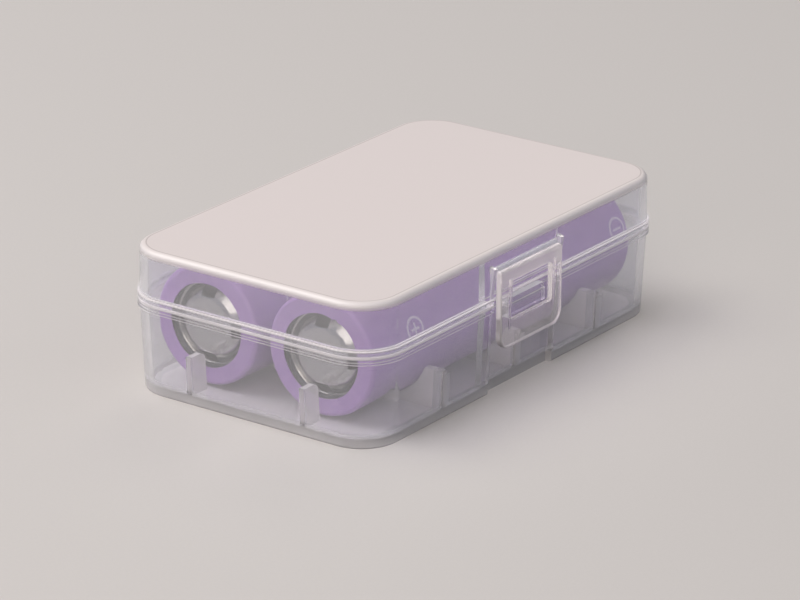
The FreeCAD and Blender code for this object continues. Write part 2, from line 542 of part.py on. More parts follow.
CELL_PIECES = {
    "sleeve": [(FRONT, SLEEVE_HOLE)] + eased(FRONT, CELL_RADIUS, "sleeve_round", "+")
              + eased(CELL_END, CELL_RADIUS, "sleeve_round", "-")[::-1]
              + [(CELL_END, SLEEVE_HOLE), (SLEEVE_BACK, SLEEVE_HOLE)]
              + eased(SLEEVE_BACK, SLEEVE_BORE, INNER_EASE, "-")
              + eased(SLEEVE_FRONT, SLEEVE_BORE, INNER_EASE, "+")[::-1]
              + [(SLEEVE_FRONT, SLEEVE_HOLE)],
    "insulating_ring": washer(FRONT + " + sleeve_thick", CAN_FRONT, SLEEVE_HOLE + " + ring_inset",
                              CELL_RADIUS + " - sleeve_thick - sleeve_round"),
    "can": [(CAN_FRONT, CRIMP_HOLE)] + eased(CAN_FRONT, CAN_RADIUS, INNER_EASE, "+")
           + [(GROOVE_FRONT, CAN_RADIUS),
              (GROOVE_FRONT + " + groove_width / 4", CAN_RADIUS + " - groove_depth"),
              (GROOVE_BACK + " - groove_width / 4", CAN_RADIUS + " - groove_depth"),
              (GROOVE_BACK, CAN_RADIUS)]
           + eased(CAN_BACK, CAN_RADIUS, INNER_EASE, "-")[::-1]
           + [(CAN_BACK, "0"), (CAN_BACK + " - can_bottom", "0"),
              (CAN_BACK + " - can_bottom", BORE_RADIUS), (GROOVE_BACK, BORE_RADIUS),
              (GROOVE_BACK + " - groove_width / 4", BORE_RADIUS + " - groove_depth"),
              (GROOVE_FRONT + " + groove_width / 4", BORE_RADIUS + " - groove_depth"),
              (GROOVE_FRONT, BORE_RADIUS), (CAN_FRONT + " + crimp_thick", BORE_RADIUS),
              (CAN_FRONT + " + crimp_thick", CRIMP_HOLE)],
    "gasket": [(SEAL_FRONT, SEAL_HOLE), (SEAL_FRONT, SEAL_RADIUS), (SEAL_BACK, SEAL_RADIUS),
               (SEAL_BACK, SEAL_HOLE), (SEAL_BACK + " - seal_lip", SEAL_HOLE),
               (SEAL_BACK + " - seal_lip", SEAL_RADIUS + " - seal_wall"),
               (SEAL_FRONT + " + seal_lip", SEAL_RADIUS + " - seal_wall"),
               (SEAL_FRONT + " + seal_lip", SEAL_HOLE)],
    "positive_cap": [(CAP_FACE, "0")] + cap_slope("", "")
                    + [(CAP_RIM, STACK_RADIUS), (CAP_RIM + " + cap_thick", STACK_RADIUS)]
                    + cap_slope(" + cap_thick", " - cap_thick")[::-1] + [(CAP_FACE + " + cap_thick", "0")],
    "limiter_ring": washer(PTC_FRONT, PTC_FRONT + " + ptc_thick", "ptc_hole / 2", STACK_RADIUS),
    "burst_disc": [(DISC_FRONT + " + disc_dish", "0"), (DISC_FRONT + " + disc_dish", "disc_flat / 2"),
                   (DISC_FRONT, "disc_flat / 2 + disc_dish"), (DISC_FRONT, STACK_RADIUS),
                   (DISC_FRONT + " + disc_thick", STACK_RADIUS),
                   (DISC_FRONT + " + disc_thick", "disc_flat / 2 + disc_dish"),
                   (DISC_FRONT + " + disc_dish + disc_thick", "disc_flat / 2"),
                   (DISC_FRONT + " + disc_dish + disc_thick", "0")],
    "upper_insulator": washer(GROOVE_BACK + " + seat_gap", GROOVE_BACK + " + seat_gap + guard_thick",
                              "guard_hole / 2", GUARD_RADIUS),
    "winding": washer(ROLL_FRONT, ROLL_BACK, "roll_bore / 2", GUARD_RADIUS),
    "lower_insulator": washer(CAN_BACK + " - can_bottom - seat_gap - guard_thick",
                              CAN_BACK + " - can_bottom - seat_gap", "guard_hole / 2", GUARD_RADIUS),
}


def turned(name, place, corners):
    """A body made by turning an outline of (place along the axis, radius) a whole turn."""
    body = new_body(name, *place)
    revolve(body, "turn", polygon_sketch(body, "outline", "XY_Plane", corners))
    return body


for cell_name, side in (("front_cell", "-"), ("back_cell", "+")):
    place = ("cell_shift", "cell_back " + side + " cell_pitch / 2", "cell_axis")
    for piece, corners in CELL_PIECES.items():
        body = turned(cell_name + "_" + piece, place, corners)
        if piece == "positive_cap":
            slot = pocket(body, "vent", polygon_sketch(
                body, "vent_outline", "YZ_Plane",
                rectangle("-vent_width / 2", "vent_width / 2", "cap_top / 2", "cap_foot / 2"), FRONT),
                "cap_sunk + seal_lip + crimp_thick + ring_thick + cap_thick", reverse=True)
            doc.recompute()
            vents = body.newObject("PartDesign::PolarPattern", body.Label + "_vents")
            vents.Originals = [slot]
            vents.Axis = (next(item for item in body.Origin.OriginFeatures if item.Role == "X_Axis"), [""])
            vents.Angle = 360
            vents.Occurrences = 4
            body.Tip = vents

# Every object has to have built, and every sub-part has to be one sound solid.
doc.recompute()
failed = [item.Name for item in doc.Objects if "Invalid" in item.State or "Error" in item.State]
if failed:
    raise RuntimeError("not built: " + ", ".join(failed))

os.makedirs("parts", exist_ok=True)
for body in [item for item in doc.Objects if item.TypeId == "PartDesign::Body"]:
    shape = body.Shape
    if shape.isNull() or not shape.isValid() or len(shape.Solids) != 1:
        raise RuntimeError("not one sound solid: " + body.Label)
    shape.exportStep("parts/" + body.Label + ".step")
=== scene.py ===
# A clear hinged case with two cylindrical cells lying in it.
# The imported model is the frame, in metres. Every piece is built where that frame says, and the
# sections follow the case as it is put together: tray, lid, latch, webs, cells, then the studio.
import math

import bpy
import numpy as np
from mathutils import Matrix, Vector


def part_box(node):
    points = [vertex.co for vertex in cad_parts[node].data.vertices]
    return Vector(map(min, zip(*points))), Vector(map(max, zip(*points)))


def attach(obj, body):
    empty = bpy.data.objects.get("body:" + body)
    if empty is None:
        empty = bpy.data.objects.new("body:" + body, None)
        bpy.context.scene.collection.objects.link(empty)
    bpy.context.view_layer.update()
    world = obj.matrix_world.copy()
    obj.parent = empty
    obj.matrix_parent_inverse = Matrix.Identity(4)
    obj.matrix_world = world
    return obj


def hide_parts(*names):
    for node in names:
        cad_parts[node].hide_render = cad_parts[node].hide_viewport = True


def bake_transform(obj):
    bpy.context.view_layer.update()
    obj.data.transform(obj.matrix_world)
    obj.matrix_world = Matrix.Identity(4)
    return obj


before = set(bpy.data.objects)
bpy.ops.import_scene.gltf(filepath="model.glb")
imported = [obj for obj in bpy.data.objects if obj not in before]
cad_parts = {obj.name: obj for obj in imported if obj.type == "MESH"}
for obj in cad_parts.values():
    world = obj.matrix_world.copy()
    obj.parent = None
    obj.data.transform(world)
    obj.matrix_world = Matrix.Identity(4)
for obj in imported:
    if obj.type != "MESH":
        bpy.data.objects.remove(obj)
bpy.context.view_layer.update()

MM = 0.001


# Tray: injection-moulded clear polypropylene, 1.2 mm thick, polished outside and in. It bends
# light as the real wall does, and turns milky in the rim, the floor, the ribs and the end stops.
# Thin white lines along the rim's edges are painted highlights. The light bands where the ribs meet
# the walls are partly milk and partly light painted over the dark line the ribs show through the wall.
WALL = 1.2 * MM
CORNER = 6.9 * MM
RIM_PROUD = 0.3 * MM
LIP_HEIGHT = 1.0 * MM
RIB_MIDDLE, RIB_PITCH, RIB_HALF, RIB_TOP = 0.8 * MM, 20.0 * MM, 0.55 * MM, 7.4 * MM
WALL_LEAN = 0.7 * MM
BAY_DEPTH = 1.1 * MM
tray_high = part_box("base_tray")[1]
half_x = tray_high[0] - RIM_PROUD
half_y = tray_high[1] - RIM_PROUD
parting = tray_high[2] - LIP_HEIGHT

# Shares of the plastic that scatter light: 0 is quite clear and 1 is white.
WALL_MILK, FLOOR_MILK, SINK_MILK = 0.14, 0.5, 0.42
# The rim's edge and the lip's foot shares paint thin white lines: painted highlights on the rim's square
# edges.
RIM_MILK, RIM_EDGE_PAINTED_HIGHLIGHT, LIP_FOOT_PAINTED_HIGHLIGHT = 0.12, 0.75, 0.6
# The seam share paints light bands where the ribs meet the walls: partly milk, partly light painted over
# the dark line the ribs show through the wall.
INNER_MILK, SEAM_MILK_AND_PAINTED_LIGHT = 0.62, 0.35
POLYPROPYLENE_IOR = 1.49
ETCHED_ROUGHNESS = 0.45


def linear(hex_colour):
    """The linear RGBA of an sRGB hex colour such as "#dcd4d0"."""
    srgb = [int(hex_colour[i:i + 2], 16) / 255 for i in (1, 3, 5)]
    return [c / 12.92 if c <= 0.04045 else ((c + 0.055) / 1.055) ** 2.4 for c in srgb] + [1.0]


def add(tree, kind, inputs=(), **settings):
    """A new node. Each input is given a value, a socket, or a node, whose first output it takes."""
    node = tree.nodes.new(kind)
    for name, value in settings.items():
        setattr(node, name, value)
    for name, given in dict(inputs).items():
        if isinstance(given, bpy.types.Node):
            given = given.outputs[0]
        if isinstance(given, bpy.types.NodeSocket):
            tree.links.new(given, node.inputs[name])
        else:
            node.inputs[name].default_value = given
    return node


def new_material(name):
    """An empty material: itself, its node tree and its output node."""
    material = bpy.data.materials.new(name)
    material.use_nodes = True
    material.node_tree.nodes.clear()
    return material, material.node_tree, add(material.node_tree, "ShaderNodeOutputMaterial")


def rounded_distance(tree, across, along, half_across, half_along, radius):
    """Distance outside a rounded rectangle's edge, negative inside it.

    With q = |p| - half size + radius it is |max(q, 0)| + min(max(q across, q along), 0) - radius."""
    flat = add(tree, "ShaderNodeCombineXYZ", {0: across, 1: along})
    size = add(tree, "ShaderNodeVectorMath", {0: flat}, operation="ABSOLUTE")
    core = (half_across - radius, half_along - radius, 0.0)
    q = add(tree, "ShaderNodeVectorMath", {0: size, 1: core}, operation="SUBTRACT")
    outer = add(tree, "ShaderNodeVectorMath", {0: q, 1: (0.0, 0.0, 0.0)}, operation="MAXIMUM")
    length = add(tree, "ShaderNodeVectorMath", {0: outer}, operation="LENGTH").outputs["Value"]
    parts = add(tree, "ShaderNodeSeparateXYZ", {0: q})
    across_q, along_q = parts.outputs[0], parts.outputs[1]
    nearer = add(tree, "ShaderNodeMath", {0: across_q, 1: along_q}, operation="MAXIMUM")
    inner = add(tree, "ShaderNodeMath", {0: nearer, 1: 0.0}, operation="MINIMUM")
    total = add(tree, "ShaderNodeMath", {0: length, 1: inner}, operation="ADD")
    return add(tree, "ShaderNodeMath", {0: total, 1: radius}, operation="SUBTRACT")


def ramp_between(tree, value, stops):
    """A curve through pairs of a length in metres and a share, straight between them."""
    low, high = stops[0][0], stops[-1][0]
    place = add(tree, "ShaderNodeMapRange", {0: value, 1: low, 2: high, 3: 0.0, 4: 1.0})
    ramp = add(tree, "ShaderNodeValToRGB", {0: place})
    for i, (level, share) in enumerate(stops):
        at = (level - low) / (high - low)
        stop = ramp.color_ramp.elements[i] if i in (0, 1) else ramp.color_ramp.elements.new(at)
        stop.position = at
        stop.color = (share, share, share, 1.0)
    return ramp


def clear_polypropylene(name, milk_share, milk_colour, frost=None):
    """Clear polypropylene, which bends light at its index of 1.49 and lets the lamps shine through.

    The eye gets sharp edges, glints along the rims and a veil where the plastic is thick. milk_share
    gives how much of it scatters light, milk_colour in what colour, and frost how far it is etched."""
    material, tree, output = new_material(name)
    place = add(tree, "ShaderNodeTexCoord").outputs["Object"]
    share = milk_share(tree, place)
    # Flow marks: the melt's slow clouds, about 9 mm across, change the haze by a fourteenth.
    clouds = add(tree, "ShaderNodeTexNoise", {"Vector": place, "Scale": 1 / (9 * MM), "Detail": 2.0})
    gain = add(tree, "ShaderNodeMapRange", {0: clouds, 1: 0.3, 2: 0.7, 3: 0.93, 4: 1.07})
    cloudy = add(tree, "ShaderNodeMath", {0: share, 1: gain}, operation="MULTIPLY", use_clamp=True)
    clear = add(tree, "ShaderNodeMath", {0: 1.0, 1: cloudy}, operation="SUBTRACT", use_clamp=True)
    colour = milk_colour(tree, place, cloudy)
    # Polishing marks of the mould, about 0.8 mm across and a few hundredths of a degree steep.
    marks = add(tree, "ShaderNodeTexNoise", {"Vector": place, "Scale": 1 / (0.8 * MM), "Detail": 3.0})
    rough = add(tree, "ShaderNodeMapRange", {0: marks, 1: 0.3, 2: 0.7, 3: 0.03, 4: 0.07})
    if frost:
        rough = add(tree, "ShaderNodeMix", {0: frost(tree, place), 2: rough, 3: ETCHED_ROUGHNESS},
                    data_type="FLOAT")
    bump = add(tree, "ShaderNodeBump", {"Height": marks, "Strength": 0.05, "Distance": 0.01 * MM})
    plastic = add(tree, "ShaderNodeBsdfPrincipled", {
        "Base Color": colour, "Roughness": rough, "IOR": POLYPROPYLENE_IOR,
        "Transmission Weight": clear, "Normal": bump})
    lamp_path = add(tree, "ShaderNodeLightPath").outputs["Is Shadow Ray"]
    passing = add(tree, "ShaderNodeBsdfTransparent", {0: linear("#f4f4f6")})
    surface = add(tree, "ShaderNodeMixShader", {0: lamp_path, 1: plastic, 2: passing})
    tree.links.new(surface.outputs[0], output.inputs["Surface"])
    return material


def haze_colour(tree, place, cloudy):
    """Thin plastic scatters a bluish haze, and where it is milky the haze is a faintly warm white."""
    ramp = add(tree, "ShaderNodeValToRGB", {0: cloudy})
    ramp.color_ramp.elements[0].color = linear("#f6f7fa")
    ramp.color_ramp.elements[1].color = linear("#e6e0df")
    middle = ramp.color_ramp.elements.new(0.3)
    middle.color = linear("#e4e5e9")
    return ramp.outputs[0]


def tray_milk(tree, place):
    """Milky in the floor, the rim and all that stands inside the walls, with painted highlights as thin
    white lines along the rim's edges, and light bands, partly milk and partly painted light, where the
    ribs meet the walls.
    """
    x, y, z = add(tree, "ShaderNodeSeparateXYZ", {0: place}).outputs
    by_height = ramp_between(tree, z, (
        (0.0, FLOOR_MILK), (1.6 * MM, SINK_MILK), (2.4 * MM, WALL_MILK),
        # Painted highlights: thin white bands at the rim's lower edge and at the lip's foot by the
        # parting.
        (parting - 1.05 * MM, WALL_MILK), (parting - 0.95 * MM, RIM_EDGE_PAINTED_HIGHLIGHT),
        (parting - 0.75 * MM, RIM_MILK), (parting - 0.2 * MM, RIM_MILK),
        (parting - 0.1 * MM, LIP_FOOT_PAINTED_HIGHLIGHT), (parting, LIP_FOOT_PAINTED_HIGHLIGHT),
        (parting + 0.1 * MM, RIM_MILK), (tray_high[2], RIM_MILK)))
    # The bay's wall counts as wall too, so the depth is taken from a bay's depth inside the long sides.
    edge = rounded_distance(tree, x, y, half_x, half_y - BAY_DEPTH, CORNER)
    lean = add(tree, "ShaderNodeMapRange", {0: z, 1: 0.0, 2: parting, 3: WALL_LEAN, 4: 0.0})
    depth = add(tree, "ShaderNodeMath", {0: edge, 1: lean}, operation="ADD")
    inside = ramp_between(tree, depth, ((-1.4 * WALL, INNER_MILK), (-1.15 * WALL, 0.0), (0.0, 0.0)))
    # Light bands over each rib's joint with the wall: partly milk, partly light painted over the rib's
    # dark line seen through the wall.
    shifted = add(tree, "ShaderNodeMath", {0: x, 1: RIB_MIDDLE}, operation="SUBTRACT")
    off_rib = add(tree, "ShaderNodeMath", {0: shifted, 1: RIB_PITCH / 2}, operation="PINGPONG")
    seam = ramp_between(tree, off_rib, (
        (0.0, SEAM_MILK_AND_PAINTED_LIGHT), (1.5 * RIB_HALF, SEAM_MILK_AND_PAINTED_LIGHT), (2 * RIB_HALF, 0.0)))
    below = ramp_between(tree, z, ((RIB_TOP - 0.5 * MM, 1.0), (RIB_TOP, 0.0)))
    seams = add(tree, "ShaderNodeMath", {0: seam, 1: below}, operation="MULTIPLY")
    milky = add(tree, "ShaderNodeMath", {0: by_height, 1: inside}, operation="MAXIMUM")
    return add(tree, "ShaderNodeMath", {0: milky, 1: seams}, operation="MAXIMUM")


def dressed(node_name, material):
    """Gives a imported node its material."""
    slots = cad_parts[node_name].data.materials
    slots.clear()
    slots.append(material)


dressed("base_tray", clear_polypropylene("clear_polypropylene_tray", tray_milk, haze_colour))


# Lid: the same polypropylene, on two webs at the back. Its roof is etched by the mould, so it is
# an even warm white, with a fine grey line painted where the walls meet it underneath, a painted
# highlight on its round edge and painted highlights as white lines along its rim.
ROOF = 1.2 * MM
EDGE_LINE = 1.15 * MM
EAR_MILK = 0.35
lid_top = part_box("lid_shell")[1][2]
roof_under = lid_top - ROOF


def lid_milk(tree, place):
    """Nearly opaque in the roof's top, with painted highlights as white lines along the rim's edges,
    milky in the ears and the shelf beside the flap, which stand out in front of the wall, and nearly
    clear in the walls."""
    x, y, z = add(tree, "ShaderNodeSeparateXYZ", {0: place}).outputs
    by_height = ramp_between(tree, z, (
        # Painted highlights: white bands at the lid's lower edge and at the rim's upper edge.
        (parting, 0.7), (parting + 0.15 * MM, 0.7),
        (parting + 0.25 * MM, RIM_MILK), (parting + 0.9 * MM, RIM_MILK),
        (parting + 1.0 * MM, RIM_EDGE_PAINTED_HIGHLIGHT), (parting + 1.1 * MM, RIM_EDGE_PAINTED_HIGHLIGHT),
        (parting + 1.25 * MM, 0.13), (roof_under - 0.05 * MM, 0.15),
        (roof_under + 0.1 * MM, 0.5), (lid_top - 0.8 * MM, 0.6), (lid_top - 0.45 * MM, 0.8),
        (lid_top, 1.1)))
    edge = rounded_distance(tree, x, y, half_x, half_y, CORNER)
    outside = ramp_between(tree, edge, ((0.0, 0.0), (0.1 * MM, EAR_MILK)))
    above = ramp_between(tree, z, ((parting + 1.15 * MM, 0.0), (parting + 1.3 * MM, 1.0)))
    ears = add(tree, "ShaderNodeMath", {0: outside, 1: above}, operation="MULTIPLY")
    return add(tree, "ShaderNodeMath", {0: by_height, 1: ears}, operation="MAXIMUM")


def lid_colour(tree, place, cloudy):
    """A warm white roof inside a fine grey line, painted 1.15 mm inside the lid's outline where the
    walls' inner faces show through, a trace lighter outside the line, and a painted highlight, a
    brighter white, on the edge beside it."""
    x, y, z = add(tree, "ShaderNodeSeparateXYZ", {0: place}).outputs
    edge = rounded_distance(tree, x, y, half_x, half_y, CORNER)
    to_line = add(tree, "ShaderNodeMath", {0: edge, 1: EDGE_LINE}, operation="ADD")
    off_line = add(tree, "ShaderNodeMath", {0: to_line}, operation="ABSOLUTE")
    # The grey line is painted where the walls' inner faces show through the roof.
    line = ramp_between(tree, off_line, ((0.0, 1.0), (0.07 * MM, 0.8), (0.15 * MM, 0.0)))
    outside = ramp_between(tree, to_line, ((0.0, 0.0), (0.15 * MM, 1.0)))
    roof = add(tree, "ShaderNodeMix", {0: outside, 6: linear("#dcd4d2"), 7: linear("#ddd6d4")},
               data_type="RGBA").outputs[2]
    lined = add(tree, "ShaderNodeMix", {0: line, 6: roof, 7: linear("#bfb7b5")},
                data_type="RGBA").outputs[2]
    haze = haze_colour(tree, place, cloudy)
    # Painted highlight: above the roof's underside, the lid's rounded edge is painted a brighter white
    # than the haze.
    beside_roof = ramp_between(tree, z, ((roof_under, 0.0), (roof_under + 0.1 * MM, 1.0)))
    edge_painted_bright = add(tree, "ShaderNodeMix", {0: beside_roof, 6: haze, 7: linear("#ebe6e5")},
               data_type="RGBA").outputs[2]
    on_roof = ramp_between(tree, z, ((lid_top - 0.3 * MM, 0.0), (lid_top - 0.05 * MM, 1.0)))
    return add(tree, "ShaderNodeMix", {0: on_roof, 6: edge_painted_bright, 7: lined}, data_type="RGBA").outputs[2]


def lid_frost(tree, place):
    """The etched part of the lid: its top face, and less so the rounded edge beside the roof."""
    height = add(tree, "ShaderNodeSeparateXYZ", {0: place}).outputs[2]
    return ramp_between(tree, height, (
        (roof_under, 0.0), (roof_under + 0.2 * MM, 0.8), (lid_top - 0.3 * MM, 0.9), (lid_top, 1.0)))


dressed("lid_shell", clear_polypropylene("etched_polypropylene_lid", lid_milk, lid_colour, lid_frost))


# Latch flap: a clear plate with a window, moulded with the lid and hung on its web. Its upper
# band is milky, and its cut edges and tapered ribs show pale.
flap_low, flap_high = (np.array(corner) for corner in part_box("latch_flap"))
FLAP_CORNER = 2.3 * MM
FLAP_BAND = 3.0 * MM
PLATE_MILK, PLATE_EDGE_MILK, BAND_FOOT_MILK, BAND_TOP_MILK = 0.04, 0.35, 0.34, 0.38


def flap_milk(tree, place):
    """Milky over the band above the window, pale within 0.45 mm of the outline, clear elsewhere."""
    x, _, z = add(tree, "ShaderNodeSeparateXYZ", {0: place}).outputs
    middle, half_height = (flap_low[2] + flap_high[2]) / 2, (flap_high[2] - flap_low[2]) / 2
    height = add(tree, "ShaderNodeMath", {0: z, 1: middle}, operation="SUBTRACT")
    edge = rounded_distance(tree, x, height, flap_high[0], half_height, FLAP_CORNER)
    rim = ramp_between(tree, edge, (
        (-0.45 * MM, PLATE_MILK), (-0.25 * MM, PLATE_EDGE_MILK), (0.0, PLATE_EDGE_MILK)))
    band = ramp_between(tree, z, (
        (flap_high[2] - FLAP_BAND, PLATE_MILK), (flap_high[2] - 0.85 * FLAP_BAND, BAND_FOOT_MILK),
        (flap_high[2], BAND_TOP_MILK)))
    return add(tree, "ShaderNodeMath", {0: rim, 1: band}, operation="MAXIMUM")


def flap_haze_painted_warm(tree, place, cloudy):
    """The flap lies in front of all else and catches the warm front light: its haze is painted that
    light's warm white.
    """
    ramp = add(tree, "ShaderNodeValToRGB", {0: cloudy})
    ramp.color_ramp.elements[0].color = linear("#f8f6f7")
    ramp.color_ramp.elements[1].color = linear("#ebe3e5")
    return ramp.outputs[0]


dressed("latch_flap", clear_polypropylene("clear_polypropylene_latch", flap_milk, flap_haze_painted_warm))


# Webs: thin strips moulded between the parts, 0.3 mm at the back and 0.25 mm at the latch. Bending
# has turned them milky.
def new_piece(name, points, closed, material, film_map=None):
    """An object at the origin from a grid of points, which closes along each axis that closed says.

    Faces point outwards and edges over 35 degrees stay sharp. film_map gives each point's place on
    the flattened surface, in mm."""
    rows, columns = points.shape[:2]
    i, j = np.meshgrid(np.arange(rows - (not closed[0])), np.arange(columns - (not closed[1])),
                       indexing="ij")
    corner_i = np.stack([i, i + 1, i + 1, i], -1).reshape(-1, 4)
    corner_j = np.stack([j, j, j + 1, j + 1], -1).reshape(-1, 4)
    quads = corner_i % rows * columns + corner_j % columns
    flat = points.reshape(-1, 3)
    a, b, c, d = (flat[quads[:, k]] for k in range(4))
    inside_out = np.einsum("ij,ij->", (a + b + c + d) / 4, np.cross(c - a, d - b)) < 0
    if inside_out:
        quads, corner_i, corner_j = quads[:, ::-1], corner_i[:, ::-1], corner_j[:, ::-1]
    mesh = bpy.data.meshes.new(name)
    mesh.from_pydata(flat.tolist(), [], quads.tolist())
    if film_map:
        u, v = film_map(corner_i, corner_j)
        layer = mesh.uv_layers.new(name="FilmMap")
        layer.data.foreach_set("uv", np.stack([u, v], -1).astype("f").ravel())
    mesh.shade_smooth()
    mesh.set_sharp_from_angle(angle=math.radians(35))
    mesh.materials.append(material)
    mesh.update()
    piece = bpy.data.objects.new(name, mesh)
    bpy.context.scene.collection.objects.link(piece)
    return piece


# How many points go along a bend, and how many rings along a strip between its closing ones.
BEND_POINTS, STRIP_RINGS = 25, 9


def bent_strip(node_name, material, centre, radius, thick, start, turn):
    """A strip bent about a line along X through centre, (y, z): its section is an arc of a ring.

    With angle a from start through turn, measured from +Y, the section's two sides are centre +
    (radius - or + thick / 2)(cos a, sin a). Rings of no length close the strip at both ends."""
    low, high = (np.array(corner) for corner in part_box(node_name))
    angle = np.radians(np.linspace(start, start + turn, BEND_POINTS))
    both = np.concatenate([angle, angle[::-1]])
    reach = np.repeat([radius + thick / 2, radius - thick / 2], BEND_POINTS)
    section = np.stack([centre[0] + reach * np.cos(both), centre[1] + reach * np.sin(both)], -1)
    core = np.stack([centre[0] + radius * np.cos(both), centre[1] + radius * np.sin(both)], -1)
    rings = np.linspace(low[0], high[0], STRIP_RINGS)
    places = np.concatenate([[low[0]], rings, [high[0]]])
    closing = np.isin(np.arange(len(places)), (0, len(places) - 1))[:, None, None]
    sides = np.where(closing, core, section)
    along = np.broadcast_to(places[:, None, None], sides.shape[:2] + (1,))
    grid = np.concatenate([along, sides], -1)
    strip = new_piece(node_name + "_strip", grid, (False, True), material)
    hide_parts(node_name)
    return strip


def web_milk(tree, place):
    """Evenly milky, with finer streaks along the bend."""
    streaks = add(tree, "ShaderNodeTexNoise", {"Vector": place, "Scale": 1 / (0.4 * MM), "Detail": 2.0})
    return add(tree, "ShaderNodeMapRange", {0: streaks, 1: 0.3, 2: 0.7, 3: 0.3, 4: 0.38})


# Each web's radius of bend, along its middle, and its thickness.
HINGE_BEND, HINGE_THICK = 0.8 * MM, 0.3 * MM
LATCH_BEND, LATCH_THICK = 0.425 * MM, 0.25 * MM
flexed_plastic = clear_polypropylene("flexed_polypropylene", web_milk, haze_colour)
for node_name in ("hinge_web_left", "hinge_web_right"):
    web_low, web_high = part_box(node_name)
    back, middle_z = web_low[1], (web_low[2] + web_high[2]) / 2
    web = bent_strip(node_name, flexed_plastic, (back, middle_z), HINGE_BEND, HINGE_THICK, -90, 180)
    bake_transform(web)
web_low, web_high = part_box("latch_hinge_web")
shelf_face, flap_top = web_high[1], web_low[2]
web = bent_strip("latch_hinge_web", flexed_plastic, (shelf_face, flap_top), LATCH_BEND,
                 LATCH_THICK, 90, 90)
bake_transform(web)


# Cells: a purple film is shrunk over a nickel-plated steel can and turned in over both ends. At
# the positive end it frames the crimped rim, the gasket and the stamped cap with its vents.
def fine_finish(name, colour, roughness, metallic=0.0, grain_mm=0.4, relief=0.1, second=None):
    """An opaque finish. A grain of grain_mm changes its roughness by a fifth and dents it slightly.

    second is the colour that slow clouds of ten grains mix into the first."""
    material, tree, output = new_material(name)
    place = add(tree, "ShaderNodeTexCoord").outputs["Object"]
    grain = add(tree, "ShaderNodeTexNoise", {
        "Vector": place, "Scale": 1 / (grain_mm * MM), "Detail": 3.0})
    rough = add(tree, "ShaderNodeMapRange", {
        0: grain, 1: 0.3, 2: 0.7, 3: roughness * 0.8, 4: roughness * 1.2})
    clouds = add(tree, "ShaderNodeTexNoise", {
        "Vector": place, "Scale": 0.1 / (grain_mm * MM), "Detail": 2.0})
    tint = add(tree, "ShaderNodeMix", {0: clouds, 6: linear(colour), 7: linear(second or colour)},
               data_type="RGBA")
    bump = add(tree, "ShaderNodeBump", {"Height": grain, "Strength": relief, "Distance": 0.02 * MM})
    shader = add(tree, "ShaderNodeBsdfPrincipled", {
        "Base Color": tint.outputs[2], "Metallic": metallic, "Roughness": rough, "Normal": bump})
    tree.links.new(shader.outputs[0], output.inputs["Surface"])
    return material


# The two marks in mm on the flattened film: ring, line and bar, their places along the cell, and the
# angle about its axis, from +Y through +Z, at which they face the latch side.
MARK_RADIUS = 1.75
MARK_LINE = 0.36
MARK_BAR = 0.55 * MARK_RADIUS
MARK_SOFT = 0.03
PLUS_X, MINUS_X = -22.1, 30.8
MARK_TURN = 161.0


def shrunk_film(name):
    """Purple PVC film, shrunk on by heat, with the two generic polarity marks in pale ink.

    The eye gets a satin purple, a little mottled, with a soft long highlight and slight waves."""
    material, tree, output = new_material(name)
    film = add(tree, "ShaderNodeUVMap", uv_map="FilmMap")
    place = add(tree, "ShaderNodeTexCoord").outputs["Object"]
    place_along, across = add(tree, "ShaderNodeSeparateXYZ", {0: film}).outputs[:2]

    def within(value, limit):
        """1 where |value| is under limit, soft over 0.06 mm."""
        size = add(tree, "ShaderNodeMath", {0: value}, operation="ABSOLUTE")
        return add(tree, "ShaderNodeMapRange", {
            0: size, 1: limit - MARK_SOFT, 2: limit + MARK_SOFT, 3: 1.0, 4: 0.0})

    ink = None
    for centre, bars in ((PLUS_X, 2), (MINUS_X, 1)):
        along = add(tree, "ShaderNodeMath", {0: place_along, 1: centre}, operation="SUBTRACT")
        spot = add(tree, "ShaderNodeCombineXYZ", {0: along, 1: across})
        radius = add(tree, "ShaderNodeVectorMath", {0: spot}, operation="LENGTH").outputs["Value"]
        off_ring = add(tree, "ShaderNodeMath", {0: radius, 1: MARK_RADIUS}, operation="SUBTRACT")
        mark = within(off_ring, MARK_LINE / 2)
        for one, other in ((along, across), (across, along))[:bars]:
            bar = add(tree, "ShaderNodeMath", {0: within(one, MARK_BAR), 1: within(other, MARK_LINE / 2)},
                      operation="MULTIPLY")
            mark = add(tree, "ShaderNodeMath", {0: mark, 1: bar}, operation="MAXIMUM")
        ink = add(tree, "ShaderNodeMath", {0: ink, 1: mark}, operation="MAXIMUM") if ink else mark
    # Shrink wrinkles: faint waves 1.5 mm apart round the film and 6 mm along it.
    stretched = add(tree, "ShaderNodeVectorMath", {0: film, 1: (1 / 6, 1 / 1.5, 1.0)},
                    operation="MULTIPLY")
    wrinkles = add(tree, "ShaderNodeTexNoise", {"Vector": stretched, "Scale": 1.0, "Detail": 2.0})
    pores = add(tree, "ShaderNodeTexNoise", {"Vector": place, "Scale": 1 / (0.25 * MM), "Detail": 2.0})
    purple = add(tree, "ShaderNodeMix", {0: wrinkles, 6: linear("#9672b2"), 7: linear("#aa88c4")},
                 data_type="RGBA")
    printed = add(tree, "ShaderNodeMix", {0: ink, 6: purple.outputs[2], 7: linear("#cdc4da")},
                  data_type="RGBA")
    rough = add(tree, "ShaderNodeMapRange", {0: pores, 1: 0.3, 2: 0.7, 3: 0.24, 4: 0.36})
    bump = add(tree, "ShaderNodeBump", {"Height": wrinkles, "Strength": 0.25, "Distance": 0.06 * MM})
    shader = add(tree, "ShaderNodeBsdfPrincipled", {
        "Base Color": printed.outputs[2], "Roughness": rough, "Normal": bump})
    tree.links.new(shader.outputs[0], output.inputs["Surface"])
    return material


